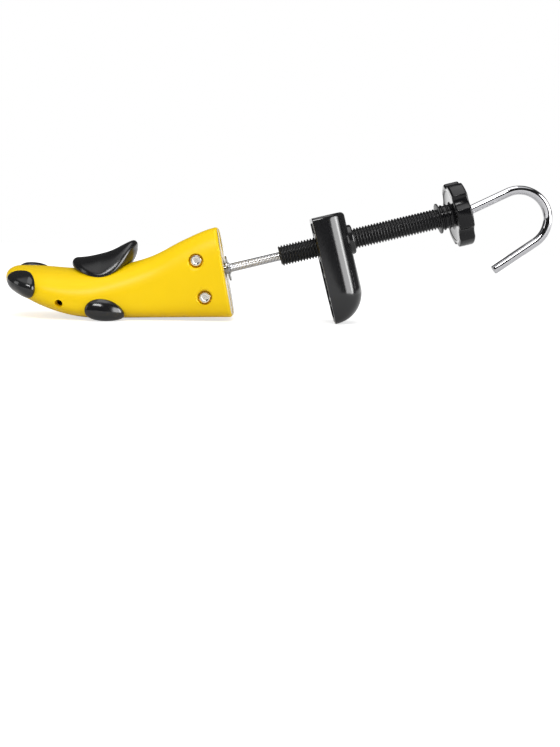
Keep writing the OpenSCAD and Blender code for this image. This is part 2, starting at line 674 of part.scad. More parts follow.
function heel_ring(z, inset) =
    let (lo = -heel_below + inset, hi = heel_above - inset,
         big = heel_round - inset, q = min(z - lo, big), top_r = 3, g = min(hi - z, top_r),
         sink = big - sqrt(max(0, big ^ 2 - (big - q) ^ 2)) + top_r - sqrt(max(0, top_r ^ 2 - (top_r - g) ^ 2)),
         depth = heel_depth - inset - 1 - 0.93 * sink,
         half = heel_w / 2 - inset - 0.6 * sink)
    concat([[heel_at, -half, z]],
        [for (i = [0:16]) let (a = 11.25 * i - 90)
            [heel_at + 1 + depth * abs(cos(a)) ^ 0.75, half * sign(a) * abs(sin(a)) ^ 0.75, z]],
        [[heel_at, half, z]]);
heel_levels = [0.05, 0.6, 1.6, 3, 5, 8, 12, 16, heel_round];
function heel_rings(inset) =
    let (span = heel_above + heel_below - 2 * inset, k = (heel_round - inset) / heel_round)
    [for (q = concat(heel_levels * k, [span - 3, span - 2, span - 1, span - 0.3, span]))
        heel_ring(q - heel_below + inset, inset)];
module heel_outer(inset = 0) {
    loft(heel_rings(inset));
}
module heel_ribs() {
    rib = 2.2;
    intersection() {
        heel_outer(1.4);
        union() {
            for (y = [-1, 1]) translate([heel_at + 0.7, y * (boss_d / 2 - rib) - rib / 2, -heel_below - 5])
                cube([heel_depth + 5, rib, heel_below + heel_above + 10]);
            for (z = [0, -20, -36]) translate([heel_at + 0.7, -heel_w, z - rib / 2]) cube([heel_depth + 5, 2 * heel_w, rib]);
        }
    }
}
module heel_block() {
    rear = heel_at + heel_depth + boss_proud;
    color([0.1, 0.1, 0.1]) stand() along_rod() difference() {
        union() {
            cup(heel_rings(0), heel_rings(heel_wall));
            heel_ribs();
            rod_ring(heel_at, rear - 0.8, boss_d / 2);
            rod_ring(heel_at + 5, rear, boss_d / 2 - 0.8);
        }
        rod_ring(heel_at - 1, rear + 1, tube_d / 2 + run_gap);
    }
}

near_half_shell();
far_half_shell();
near_bracket();
far_bracket();
near_upper_screw();
near_lower_screw();
far_upper_screw();
far_lower_screw();
hinge_block();
near_hinge_pin();
far_hinge_pin();
spreader_nut();
near_cam_pin();
far_cam_pin();
retaining_clip();
thrust_washer();
hook_rod();
rod_collar();
near_toe_plug();
near_ball_plug();
far_toe_plug();
far_ball_plug();
instep_saddle();
screw_tube();
knob_wheel();
heel_block();
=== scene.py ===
import bpy
import bmesh
import math
from mathutils import Matrix, Vector


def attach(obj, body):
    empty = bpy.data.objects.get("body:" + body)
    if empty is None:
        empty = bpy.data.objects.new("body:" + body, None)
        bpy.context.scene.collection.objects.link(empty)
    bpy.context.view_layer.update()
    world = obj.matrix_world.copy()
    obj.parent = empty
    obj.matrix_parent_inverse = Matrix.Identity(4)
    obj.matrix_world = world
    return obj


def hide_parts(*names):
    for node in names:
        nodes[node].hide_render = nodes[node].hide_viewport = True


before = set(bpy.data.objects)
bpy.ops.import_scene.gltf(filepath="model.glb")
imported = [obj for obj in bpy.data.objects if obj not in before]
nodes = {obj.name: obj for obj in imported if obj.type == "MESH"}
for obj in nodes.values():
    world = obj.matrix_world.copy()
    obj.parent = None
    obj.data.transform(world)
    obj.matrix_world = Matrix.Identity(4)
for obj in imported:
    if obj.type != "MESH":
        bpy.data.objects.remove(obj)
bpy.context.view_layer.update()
scene = bpy.context.scene
scene.view_settings.view_transform = "Standard"

# Sizes of the solids, in millimetres
# The last: its length, heights at the rear and over the ball, widths over the ball and at the rear, toe height
LAST, REAR_H, BALL_H, BALL_W, REAR_W, TOE = 147.0, 59.0, 32.5, 67.0, 42.0, 27.0
# Lean of the rear face, wall, rear wall, and the split between the halves. The lean dies out at a share of the length
LEAN, WALL, REAR_WALL, GAP = math.radians(10), 2.5, 3.0, 0.5
LEAN_TO = 0.45
# Rise of the rod to the rear, its height at the last's rear, and its radius
ROD_TILT, ROD_Z, ROD_R = math.radians(13.3), 32.0, 3.0
# How the last rests on the floor
REST_TILT, LIFT, SHIFT = math.radians(1.36457), 2.47865, -34.0284
# Lengths over which the toe rounds off, from the side and from above, and the sole's end behind the origin
NOSE_SIDE, NOSE_PLAN, REAR_FOOT = 9.0, 34.0, 4.1
# From here to the rear the split faces fall back, so that the toe can spread
RELIEF_FROM, RELIEF = 5 / LAST, math.tan(math.radians(8.5))
# Plugs and free hole: share of the length, section angle and turn about the normal, in degrees
TOE_PLACES = {"near": (0.890, 4, -30), "far": (0.915, 33, -38)}
BALL_PLACE, FREE_PLACE = (0.523, -23, -22), (0.715, -9, 0)
PLUG_HOLE_R = 2.5
SADDLE_AT = 81.7
# Screws, along and across the rod's direction; their seat and the skin's surface, from the split plane
SCREWS = [(-17.4, 10.1), (-17.4, -14.5)]
SCREW_SEAT, SKIN_AT, SINK_R = 17.0, 20.6, 4.7
# Places along the rod, behind the last
TUBE_FROM, FLANGE_FROM, FLANGE_TO, WHEEL_FROM, WHEEL_TO = 36.0, 144.6, 145.7, 153.5, 163.9
# The bar that shows, within the rod of the solids
BAR_R = 2.97

# From millimetres in the last's frame, or in the rod's, to the world. In both the x axis points to the rear
MM = Matrix.Scale(0.001, 4)
IN_LAST = MM @ Matrix.Translation((SHIFT, 0, LIFT)) @ Matrix.Rotation(-REST_TILT, 4, "Y")
ON_ROD = IN_LAST @ Matrix.Translation((0, 0, ROD_Z)) @ Matrix.Rotation(-ROD_TILT, 4, "Y")
# The rod's frame in the last's
ROD_IN_LAST = Matrix.Translation((0, 0, ROD_Z)) @ Matrix.Rotation(-ROD_TILT, 4, "Y")
# The far side mirrors the near one
SIDES = {"near": Matrix.Identity(4), "far": Matrix.Scale(-1, 4, (0, 1, 0))}
# They turn the x axis outward to the near side, and up
OUTWARD = Matrix.Rotation(-math.pi / 2, 4, "Z")
UP = Matrix.Rotation(-math.pi / 2, 4, "Y")


# Camera
def camera():
    """Long view square to the side, from two degrees above."""
    # Picture height, focal length and row of the eye's level, in pixels
    high, focal, eye_row = 747, 870, 266.5
    sensor = 36
    # Distance and angle to the point it looks at, in the last's frame
    away, down = 583.0, math.radians(2)
    aim_x, aim_z = 35.2, 33.4
    cam = bpy.data.objects.new("Camera", bpy.data.cameras.new("Camera"))
    scene.collection.objects.link(cam)
    scene.camera = cam
    cam.data.sensor_width = sensor
    cam.data.lens = sensor * focal / high
    cam.data.shift_y = -(high / 2 - eye_row) / high
    place = Vector((aim_x, -away * math.cos(down), aim_z + away * math.sin(down)))
    look = Vector((0, math.cos(down), -math.sin(down)))
    up = Vector((0, math.sin(down), math.cos(down)))
    turn = Matrix((look.cross(up), up, -look)).transposed().to_4x4()
    unscaled = Matrix.Translation((SHIFT, 0, LIFT)) @ Matrix.Rotation(-REST_TILT, 4, "Y")
    world = unscaled @ Matrix.Translation(place) @ turn
    cam.matrix_world = Matrix.Translation(world.translation * 0.001) @ world.to_3x3().to_4x4()
    cam.data.clip_start, cam.data.clip_end = 0.02, 20


camera()


# Shader helpers. Each takes and gives sockets
def new_material(name):
    m = bpy.data.materials.new(name)
    m.use_nodes = True
    t = m.node_tree
    t.nodes.clear()
    return m, t, t.nodes.new("ShaderNodeOutputMaterial")


def ranged(t, value, from_min, from_max, to_min=0.0, to_max=1.0):
    n = t.nodes.new("ShaderNodeMapRange")
    n.inputs["From Min"].default_value = from_min
    n.inputs["From Max"].default_value = from_max
    n.inputs["To Min"].default_value = to_min
    n.inputs["To Max"].default_value = to_max
    t.links.new(value, n.inputs["Value"])
    return n.outputs[0]


def maths(t, operation, a, b):
    n = t.nodes.new("ShaderNodeMath")
    n.operation = operation
    t.links.new(a, n.inputs[0])
    t.links.new(b, n.inputs[1])
    return n.outputs[0]


def vector_maths(t, operation, a, b=None):
    n = t.nodes.new("ShaderNodeVectorMath")
    n.operation = operation
    t.links.new(a, n.inputs[0])
    if b is not None:
        n.inputs[1].default_value = b
    return n.outputs["Value" if operation == "LENGTH" else "Vector"]


def tones(t, fac, stops):
    """Colour ramp from two or more stops of (position, colour)."""
    n = t.nodes.new("ShaderNodeValToRGB")
    e = n.color_ramp.elements
    e[0].position, e[0].color = stops[0][0], (*stops[0][1], 1)
    e[1].position, e[1].color = stops[-1][0], (*stops[-1][1], 1)
    for place, colour in stops[1:-1]:
        e.new(place).color = (*colour, 1)
    t.links.new(fac, n.inputs[0])
    return n.outputs[0]


def noise(t, vector, scale, detail):
    n = t.nodes.new("ShaderNodeTexNoise")
    n.inputs["Scale"].default_value = scale
    n.inputs["Detail"].default_value = detail
    t.links.new(vector, n.inputs["Vector"])
    return n.outputs["Fac"]


def surface(t, b, out, colour, fine, rough, bump, distance):
    """Colours a surface, and takes its roughness and its bump from one fine noise."""
    t.links.new(colour, b.inputs["Base Color"])
    t.links.new(ranged(t, fine, 0.0, 1.0, *rough), b.inputs["Roughness"])
    lump = t.nodes.new("ShaderNodeBump")
    lump.inputs["Strength"].default_value = bump
    lump.inputs["Distance"].default_value = distance
    t.links.new(fine, lump.inputs["Height"])
    t.links.new(lump.outputs[0], b.inputs["Normal"])
    t.links.new(b.outputs[0], out.inputs["Surface"])


# Stage and light
def floor():
    """Pale floor, white to the camera. Near the object it shows less of that white to metal and gloss."""
    m, t, out = new_material("stage_white")
    body = t.nodes.new("ShaderNodeBsdfDiffuse")
    body.inputs["Color"].default_value = (0.72, 0.72, 0.72, 1)
    glow = t.nodes.new("ShaderNodeEmission")
    glow.inputs["Color"].default_value = (1, 1, 1, 1)
    path = t.nodes.new("ShaderNodeLightPath")
    where = t.nodes.new("ShaderNodeTexCoord")
    away = vector_maths(t, "LENGTH", where.outputs["Object"])
    # The glow within 0.35 m of the middle, and past 1.5 m
    shares = [
        maths(t, "MULTIPLY", path.outputs[ray], ranged(t, away, 0.35, 1.5, near, far))
        for ray, near, far in (("Is Camera Ray", 0.66, 0.95), ("Is Glossy Ray", 0.10, 0.9))
    ]
    t.links.new(maths(t, "ADD", *shares), glow.inputs["Strength"])
    both = t.nodes.new("ShaderNodeAddShader")
    t.links.new(body.outputs[0], both.inputs[0])
    t.links.new(glow.outputs[0], both.inputs[1])
    t.links.new(both.outputs[0], out.inputs["Surface"])
    me = bpy.data.meshes.new("floor")
    reach = 3.0
    corners = [(x * reach, y * reach, 0) for x, y in ((-1, -1), (1, -1), (1, 1), (-1, 1))]
    me.from_pydata(corners, [], [(0, 1, 2, 3)])
    me.materials.append(m)
    plane = bpy.data.objects.new("floor", me)
    scene.collection.objects.link(plane)


def studio():
    """World: white to the camera, an even sky to matt surfaces, and a room with a card to metal and gloss."""
    sky = 0.42
    world = bpy.data.worlds.new("studio")
    scene.world = world
    world.use_nodes = True
    t = world.node_tree
    t.nodes.clear()
    out = t.nodes.new("ShaderNodeOutputWorld")
    path = t.nodes.new("ShaderNodeLightPath")
    where = t.nodes.new("ShaderNodeTexCoord")
    axes = t.nodes.new("ShaderNodeSeparateXYZ")
    t.links.new(where.outputs["Generated"], axes.inputs[0])
    x, y, z = (axes.outputs[i] for i in "XYZ")
    height = ranged(t, z, -1.0, 1.0)

    def zones(points):
        return tones(t, height, [(place, [level] * 3) for place, level in points])

    def light(strength, colour=None):
        b = t.nodes.new("ShaderNodeBackground")
        b.inputs["Color"].default_value = (1, 1, 1, 1)
        b.inputs["Strength"].default_value = strength
        if colour:
            t.links.new(colour, b.inputs["Color"])
        return b

    def choose(ray, a, b):
        m = t.nodes.new("ShaderNodeMixShader")
        t.links.new(path.outputs[ray], m.inputs[0])
        t.links.new(a.outputs[0], m.inputs[1])
        t.links.new(b.outputs[0], m.inputs[2])
        return m

    # The room's grey from straight down (0) to straight up (1), in front of the object and behind it
    front = zones([(0, 0.3), (0.5, 0.02), (0.89, 0.02), (0.93, 0.9), (0.985, 1.0), (1, 0.8)])
    back = zones([(0, 1.0), (0.53, 1.0), (0.55, 0.06), (0.95, 0.06), (0.99, 0.6), (1, 0.6)])
    room = t.nodes.new("ShaderNodeMixRGB")
    t.links.new(ranged(t, y, -0.1, 0.25), room.inputs["Fac"])
    t.links.new(front, room.inputs["Color1"])
    t.links.new(back, room.inputs["Color2"])

    # A tall bright card in front, to the right
    black, white, card_light = (0, 0, 0), (1, 1, 1), 8.0
    card = light(1.0, tones(t, x, [(0.63, black), (0.67, white), (0.94, white), (0.98, black)]))
    below, ahead = ranged(t, z, 0.62, 0.5, 0.0, card_light), ranged(t, y, 0.0, -0.1)
    t.links.new(maths(t, "MULTIPLY", below, ahead), card.inputs["Strength"])
    full = t.nodes.new("ShaderNodeAddShader")
    t.links.new(light(1.0, room.outputs[0]).outputs[0], full.inputs[0])
    t.links.new(card.outputs[0], full.inputs[1])
    soft = choose("Is Glossy Ray", light(sky), full)
    t.links.new(choose("Is Camera Ray", soft, light(1.0)).outputs[0], out.inputs["Surface"])


def lamp(name, at, to, size, size_y, power):
    data = bpy.data.lights.new(name, "AREA")
    data.shape = "RECTANGLE"
    data.size, data.size_y, data.energy = size, size_y, power
    o = bpy.data.objects.new(name, data)
    scene.collection.objects.link(o)
    o.location = at
    o.rotation_mode = "QUATERNION"
    o.rotation_quaternion = (Vector(at) - Vector(to)).to_track_quat("Z", "Y")


floor()
studio()
lamp("key", (-0.08, -0.75, 0.66), (0, 0, 0.03), 0.42, 0.18, 3.6)
lamp("top", (0.05, 0.0, 0.95), (0, 0, 0.03), 0.9, 0.5, 2.05)
lamp("side", (-0.9, -0.35, 0.35), (-0.05, 0, 0.03), 0.3, 0.5, 1.1)
lamp("strip", (0.86, -0.28, 0.30), (0.03, 0, 0.04), 0.16, 0.6, 2.4)


# Materials
def plastic(name, colour, rough, vary, bump, coat, gloss=0.5):
    """Moulded plastic with broad, weak clouds of colour and a fine skin."""
    m, t, out = new_material(name)
    b = t.nodes.new("ShaderNodeBsdfPrincipled")
    b.inputs["Coat Weight"].default_value = coat
    b.inputs["Coat Roughness"].default_value = 0.12
    b.inputs["IOR"].default_value = 1.5
    b.inputs["Specular IOR Level"].default_value = gloss
    where = t.nodes.new("ShaderNodeTexCoord").outputs["Object"]
    dark = [c * (1 - vary) for c in colour]
    pale = [min(1, c * (1 + vary)) for c in colour]
    tint = tones(t, noise(t, where, 26, 3), [(0.35, dark), (0.65, pale)])
    fine = noise(t, where, 900.0, 4)
    surface(t, b, out, tint, fine, (rough - 0.04, rough + 0.05), bump, 0.00015)
    return m


def metal(name, colour, rough, bump, stretch=(40, 900, 900), vary=0.05):
    """Metal with a fine grain, which runs along the rod unless stretch says otherwise."""
    m, t, out = new_material(name)
    b = t.nodes.new("ShaderNodeBsdfPrincipled")
    b.inputs["Metallic"].default_value = 1.0
    where = t.nodes.new("ShaderNodeTexCoord")
    grain = t.nodes.new("ShaderNodeMapping")
    grain.inputs["Scale"].default_value = stretch
    grain.inputs["Rotation"].default_value = (0, ROD_TILT + REST_TILT, 0)
    t.links.new(where.outputs["Object"], grain.inputs["Vector"])
    fine = noise(t, grain.outputs[0], 1.0, 5)
    tint = tones(t, fine, [(0.3, [c * (1 - vary) for c in colour]), (0.7, colour)])
    surface(t, b, out, tint, fine, (rough * 0.75, rough * 1.3), bump, 0.0001)
    return m


def paint_root_shade(m, low, high):
    """Paints shade into a metal's colour, from radius high about the rod's axis to radius low, at the roots of the
    rod's thread.
    """
    t = m.node_tree
    b = next(n for n in t.nodes if n.type == "BSDF_PRINCIPLED")
    tint = b.inputs["Base Color"].links[0].from_socket
    where = t.nodes.new("ShaderNodeTexCoord")
    off = vector_maths(t, "SUBTRACT", where.outputs["Object"], ON_ROD.translation)
    along = (ON_ROD.to_3x3() @ Vector((1, 0, 0))).normalized()
    radius = vector_maths(t, "LENGTH", vector_maths(t, "CROSS_PRODUCT", off, along))
    mix = t.nodes.new("ShaderNodeMixRGB")
    # Colour of the painted shade in the thread's roots
    mix.inputs["Color1"].default_value = (0.05, 0.05, 0.055, 1)
    t.links.new(ranged(t, radius, low * 0.001, high * 0.001), mix.inputs["Fac"])
    t.links.new(tint, mix.inputs["Color2"])
    t.links.new(mix.outputs[0], b.inputs["Base Color"])
    return m


YELLOW = plastic("yellow_moulding", (0.99, 0.66, 0.001), 0.36, 0.02, 0.08, coat=0.0, gloss=0.24)
YELLOW_END = plastic("yellow_end_face", (0.98, 0.66, 0.02), 0.16, 0.02, 0.05, coat=1.0)
BLACK = plastic("black_gloss_moulding", (0.013, 0.013, 0.014), 0.13, 0.15, 0.05, coat=0.1)
SADDLE = plastic("black_saddle_moulding", (0.009, 0.009, 0.010), 0.24, 0.15, 0.08, coat=0.15)
RIM = plastic("black_knob_rim", (0.006, 0.006, 0.007), 0.20, 0.15, 0.06, coat=0.0, gloss=0.3)
KNOB = plastic("black_knob_moulding", (0.009, 0.009, 0.010), 0.16, 0.15, 0.06, coat=1.0)
BLACK_SATIN = plastic("black_screw_moulding", (0.012, 0.012, 0.013), 0.32, 0.15, 0.12, coat=0.08)
BRIGHT = metal("bright_rod", (0.62, 0.62, 0.64), 0.06, 0.02)
# The rod's thread metal, with painted shade in the roots of its thread
THREAD = paint_root_shade(metal("cut_thread_root_shade", (0.78, 0.78, 0.80), 0.08, 0.01), 2.78, 2.95)
SCREW = metal("bright_screw", (0.90, 0.87, 0.80), 0.26, 0.008, stretch=(500, 500, 500))
DISC = metal("washer_plate", (0.40, 0.40, 0.40), 0.22, 0.01, stretch=(500, 500, 500))
ZINC = metal("zinc_plate", (0.58, 0.59, 0.61), 0.32, 0.10, stretch=(260, 260, 260), vary=0.12)
BRASS = metal("turned_brass", (0.60, 0.42, 0.17), 0.28, 0.08, stretch=(500, 200, 500))


# Mesh helpers. A part is a pair of points and faces
def build(name, parts, matrix, body, material, replaced=(), sharp=35.0):
    """Makes one piece, which rides its body and stands in for the nodes it replaces."""
    me = bpy.data.meshes.new(name)
    verts, faces = [], []
    for v, f in parts:
        base = len(verts)
        verts.extend(matrix @ Vector(p) for p in v)
        faces.extend([i + base for i in face] for face in f)
    me.from_pydata(verts, [], faces)
    me.validate()
    bm = bmesh.new()
    bm.from_mesh(me)
    bmesh.ops.remove_doubles(bm, verts=bm.verts, dist=1e-7)
    bmesh.ops.recalc_face_normals(bm, faces=bm.faces)
    bm.to_mesh(me)
    bm.free()
    o = bpy.data.objects.new(name, me)
    scene.collection.objects.link(o)
    me.materials.append(material)
    smooth(me, sharp)
    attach(o, body)
    if replaced:
        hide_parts(*replaced)
    return o


def smooth(me, sharp):
    me.polygons.foreach_set("use_smooth", [True] * len(me.polygons))
    me.set_sharp_from_angle(angle=math.radians(sharp))
    me.update()


def loft(rings, first=True, last=True):
    """Skin over closed rings, with a cap on the first and the last."""
    m = len(rings[0])
    v = [p for r in rings for p in r]
    f = []
    for k in range(len(rings) - 1):
        for i in range(m):
            j = (i + 1) % m
            f.append((k * m + i, (k + 1) * m + i, (k + 1) * m + j, k * m + j))
    if first:
        f.append(tuple(range(m)))
    if last:
        f.append(tuple((len(rings) - 1) * m + i for i in range(m)))
    return v, f


def cup(outer, inner):
    """Closed wall between two stacks of open sections, joined along their ends."""
    m, q, k = len(outer[0]), len(inner[0]), len(outer)
    v = [p for r in outer + inner for p in r]
    b, e = k * m, (k - 1) * m
    c = b + (k - 1) * q
    f = [tuple(range(m)), tuple(e + i for i in range(m))[::-1]]
    f += [tuple(b + i for i in range(q))[::-1], tuple(c + i for i in range(q))]
    f += [(0, m - 1, b + q - 1, b), (e + m - 1, e, c, c + q - 1)]
    for j in range(k - 1):
        out0, out1 = j * m, (j + 1) * m
        in0, in1 = b + j * q, b + (j + 1) * q
        f += [(out0 + i, out1 + i, out1 + i + 1, out0 + i + 1) for i in range(m - 1)]
        f += [(in0 + i, in0 + i + 1, in1 + i + 1, in1 + i) for i in range(q - 1)]
        f.append((in0, in1, out1, out0))
        f.append((out0 + m - 1, out1 + m - 1, in1 + q - 1, in0 + q - 1))
    return v, f


def circle(x, r, n):
    return [(x, r * math.cos(2 * math.pi * i / n), r * math.sin(2 * math.pi * i / n)) for i in range(n)]


def revolve(profile, n=64, closed=False):
    """Surface about the x axis from (x, r) points. A closed profile gives a tube."""
    rings = [circle(x, r, n) for x, r in profile]
    if closed:
        return loft(rings + rings[:1], first=False, last=False)
    return loft(rings)


def shifted(part, matrix):
    return [matrix @ Vector(p) for p in part[0]], part[1]


def cut(o, tools, mode="DIFFERENCE"):
    for v, f, matrix in tools:
        me = bpy.data.meshes.new("tool")
        me.from_pydata([matrix @ Vector(p) for p in v], [], f)
        bm = bmesh.new()
        bm.from_mesh(me)
        bmesh.ops.recalc_face_normals(bm, faces=bm.faces)
        bm.to_mesh(me)
        bm.free()
        tool = bpy.data.objects.new("tool", me)
        scene.collection.objects.link(tool)
        b = o.modifiers.new("cut", "BOOLEAN")
        b.object, b.operation, b.solver = tool, mode, "EXACT"
        bpy.context.view_layer.update()
        deps = bpy.context.evaluated_depsgraph_get()
        made = bpy.data.meshes.new_from_object(o.evaluated_get(deps))
        o.modifiers.remove(b)
        bpy.data.objects.remove(tool)
        old = o.data
        o.data = made
        bpy.data.meshes.remove(old)


# Shape of the last, from the same curves as the solids. s is the share of the length from the rear to the toe
CROWN = [(-0.1, 1.16), (0.07, 1), (0.19, 0.725), (0.345, 0.297), (0.51, 0.06), (0.68, 0), (0.85, 0.06), (1, 0.08)]
SOLE = [(-0.1, 0), (0.5, 0), (0.6, 0.012), (0.7, 0.096), (0.81, 0.281), (0.92, 0.54), (1, 0.7)]
WIDTH = [(-0.1, -0.04), (0.14, 0.02), (0.3, 0.16), (0.45, 0.48), (0.58, 0.88), (0.68, 1), (0.78, 0.98), (0.88, 0.88),
         (1, 0.76)]
WAIST = [(-0.1, 0.42), (0.4, 0.4), (0.65, 0.36), (1, 0.5)]
# Exponents of the section above and below its widest line
UPPER = [(-0.1, 3.3), (0.15, 3.2), (0.35, 2.6), (0.6, 2.15), (1, 2.1)]
LOWER = [(-0.1, 4), (0.6, 3.4), (0.85, 2.6), (1, 2.2)]


def curve(p, s):
    """Smooth curve through the points p."""
    i = 0
    while i < len(p) - 2 and s >= p[i + 1][0]:
        i += 1

    def rise(k):
        a, b = max(k - 1, 0), min(k + 1, len(p) - 1)
        return (p[b][1] - p[a][1]) / (p[b][0] - p[a][0])

    h = p[i + 1][0] - p[i][0]
    t = (s - p[i][0]) / h
    return (
        (2 * t**3 - 3 * t**2 + 1) * p[i][1] + (t**3 - 2 * t**2 + t) * h * rise(i)
        + (3 * t**2 - 2 * t**3) * p[i + 1][1] + (t**3 - t**2) * h * rise(i + 1)
    )


def nose(s, n):
    d = max(0.0, 1 - s) * LAST
    return 1.0 if d >= n else math.sqrt(max(0.0, 1 - ((n - d) / n) ** 2))


def crown_z(s):
    z = BALL_H + (REAR_H - BALL_H) * curve(CROWN, s)
    return TOE + (z - TOE) * nose(s, NOSE_SIDE)


def sole_z(s):
    return TOE + (TOE * curve(SOLE, s) - TOE) * nose(s, NOSE_SIDE)


def half_w(s):
    return (REAR_W + (BALL_W - REAR_W) * curve(WIDTH, s)) / 2 * nose(s, NOSE_PLAN)


def waist_z(s):
    return sole_z(s) + (crown_z(s) - sole_z(s)) * curve(WAIST, s)


def skin(s, t, inset=0.0, gap=GAP / 2):
    """Point of the near half's skin at section angle t, from -90 at the sole to 90 at the crown."""
    up = t >= 0
    n = curve(UPPER if up else LOWER, s)
    w = waist_z(s)
    h = crown_z(s) - w if up else w - sole_z(s)
    a = math.radians(t)
    z = w + (1 if up else -1) * (h - inset) * abs(math.sin(a)) ** (2 / n)
    y = gap + (half_w(s) - gap - inset) * abs(math.cos(a)) ** (2 / n)
    return (-s * LAST, -y, z)


def outside(p):
    """More than 0 where p lies outside the skin."""
    s = -p[0] / LAST
    if s > 0.9999:
        return 1.0
    w = waist_z(s)
    up = p[2] >= w
    n = curve(UPPER if up else LOWER, s)
    h = crown_z(s) - w if up else w - sole_z(s)
    return (max(0.0, abs(p[1]) - GAP / 2) / (half_w(s) - GAP / 2)) ** n + (abs(p[2] - w) / h) ** n - 1


def crown_at(x, y):
    s = -x / LAST
    n = curve(UPPER, s)
    q = min(1.0, max(0.0, abs(y) - GAP / 2) / (half_w(s) - GAP / 2))
    return waist_z(s) + (crown_z(s) - waist_z(s)) * (1 - q**n) ** (1 / n)


def split_y(s):
    return GAP / 2 + max(0.0, RELIEF_FROM - s) * LAST * RELIEF


def spot(s, s0, t, inset):
    """Point of the skin, with the sections leaned back toward the rear face, which begins at s0."""
    gap = split_y(s)
    p = skin(s, t, inset, gap)
    for _ in range(4):
        lean = math.tan(LEAN) * p[2] / LAST * max(0.0, 1 - (s - s0) / (LEAN_TO - s0))
        p = skin(s + lean, t, inset, gap)
    return p


def skin_frame(place):
    """Frame on the skin: z outward, x toward the toe before its turn."""
    s, t, turn = place
    e = 0.004
    a = Vector(skin(s + e, t)) - Vector(skin(s - e, t))
    b = Vector(skin(s, t + 1)) - Vector(skin(s, t - 1))
    z = b.cross(a).normalized()
    x = (Vector((-1, 0, 0)) + z * z[0]).normalized()
    y = z.cross(x)
    c, d = math.cos(math.radians(turn)), math.sin(math.radians(turn))
    x, y = x * c + y * d, y * c - x * d
    m = Matrix((x, y, z)).transposed().to_4x4()
    m.translation = Vector(skin(s, t))
    return m


# The halves of the last
def half_shell():
    """Near half's wall, before its holes."""
    s0 = -REAR_FOOT / LAST
    s1 = s0 + REAR_WALL / LAST
    n, m, q = 110, 64, 32
    # Places and insets of the sections: first those that round off the rear edge, then more and more toward the toe
    soft = [(0.0, 1.6), (0.25, 1.0), (0.7, 0.5), (1.3, 0.15), (2.0, 0.0)]
    outs = [(s0 + d / LAST, i) for d, i in soft]
    start = outs[-1][0] + 0.006
    outs += [(start + (0.99985 - start) * math.sin(math.pi / 2 * i / n) ** 0.9, 0.0) for i in range(n + 1)]
    count = len(outs)
    reach = 1 - (WALL + 1.3) / LAST - s1
    inns = [s1 + reach * math.sin(math.pi / 2 * i / (count - 1)) ** 0.9 for i in range(count)]
    turns = [-90 + 180 * i / m for i in range(m + 1)]

    def ring(s, inset):
        """Outer section whose two ends step down softly to the flat split face."""
        r = [spot(s, s0, t, inset) for t in turns]
        gap = split_y(s)
        room = max(0.05, min(0.45, (r[-1][2] - r[0][2]) * 0.1))
        low, high = r[0], r[-1]
        r[0] = (low[0], -gap - room, low[2])
        r[-1] = (high[0], -gap - room, high[2])
        return (
            [(low[0], -gap, low[2] + room), (low[0], -gap - room * 0.3, low[2] + room * 0.3)] + r
            + [(high[0], -gap - room * 0.3, high[2] - room * 0.3), (high[0], -gap, high[2] - room)]
        )

    outer = [ring(s, i) for s, i in outs]
    inner = [[spot(s, s1, -90 + 180 * i / q, WALL) for i in range(q + 1)] for s in inns]
    return cup(outer, inner)


def half(side):
    """A half of the last with its holes and, as islands inside, the bosses of its screws and plugs."""
    world = IN_LAST @ SIDES[side]
    name = side + "_half"
    o = build(name + "_skin", [half_shell()], world, name, YELLOW, (name + "_shell",))
    places = (FREE_PLACE, BALL_PLACE, TOE_PLACES[side])
    # A screw's counterbore with a soft mouth, the groove around its seat, and the bore for its stem
    sink = revolve([
        (SCREW_SEAT, SINK_R), (SKIN_AT - 0.9, SINK_R), (SKIN_AT - 0.45, 4.82), (SKIN_AT - 0.12, 5.1),
        (SKIN_AT + 0.6, 6.0), (30, 6.0)], 48)
    groove = revolve([(15.95, 3.55), (15.95, 4.68), (17.4, 4.68), (17.4, 3.55)], 48, True)
    shaft = revolve([(5, 2.25), (18, 2.25)], 32)
    tools = []
    for u, w in SCREWS:
        seat = world @ ROD_IN_LAST @ Matrix.Translation((u, 0, w)) @ OUTWARD
        tools += [(*part, seat) for part in (sink, groove, shaft)]
    # The rod's opening, the plug holes and the hole for the saddle's peg
    tools.append((*revolve([(-10, ROD_R + 3.5), (20, ROD_R + 3.5)], 48), world @ ROD_IN_LAST))
    plain = [(-9, PLUG_HOLE_R), (6, PLUG_HOLE_R)]
    rounded = [(-9, PLUG_HOLE_R), (-0.7, PLUG_HOLE_R), (-0.3, 2.58), (0.3, 3.2), (6, 3.2)]
    for place in places:
        bore = revolve(rounded if place is FREE_PLACE else plain, 32)
        tools.append((*bore, world @ skin_frame(place) @ UP))
    tools.append((*revolve([(12, 2.6), (70, 2.6)], 32), world @ Matrix.Translation((-SADDLE_AT, 0, 0)) @ UP))
    cut(o, tools)

    screw_boss = revolve([
        (15.62, 2.25), (15.62, 6.5), (18.4, 6.5), (18.4, 4.7), (15.97, 4.7), (15.97, 3.53), (17.02, 3.53),
        (17.02, 2.25)], 48, True)
    plug_boss = revolve([(-5, 2.52), (-5, 4.5), (-2.0, 4.5), (-2.0, 2.52)], 32, True)
    bosses = [shifted(screw_boss, ROD_IN_LAST @ Matrix.Translation((u, 0, w)) @ OUTWARD) for u, w in SCREWS]
    bosses += [shifted(plug_boss, skin_frame(place) @ UP) for place in places]
    bm = bmesh.new()
    bm.from_mesh(o.data)
    for v, f in bosses:
        vs = [bm.verts.new(world @ Vector(p)) for p in v]
        for face in f:
            bm.faces.new([vs[i] for i in face])
    bmesh.ops.remove_doubles(bm, verts=bm.verts, dist=2e-7)
    bm.to_mesh(o.data)
    bm.free()
    smooth(o.data, 38)

    # The rear face is polished
    o.data.materials.append(YELLOW_END)
    back = (IN_LAST.to_3x3() @ Vector((math.cos(LEAN), 0, math.sin(LEAN)))).normalized()
    for face in o.data.polygons:
        if face.normal.dot(back) > 0.94 and (world.inverted() @ face.center)[0] > -0.15 * LAST:
            face.material_index = 1


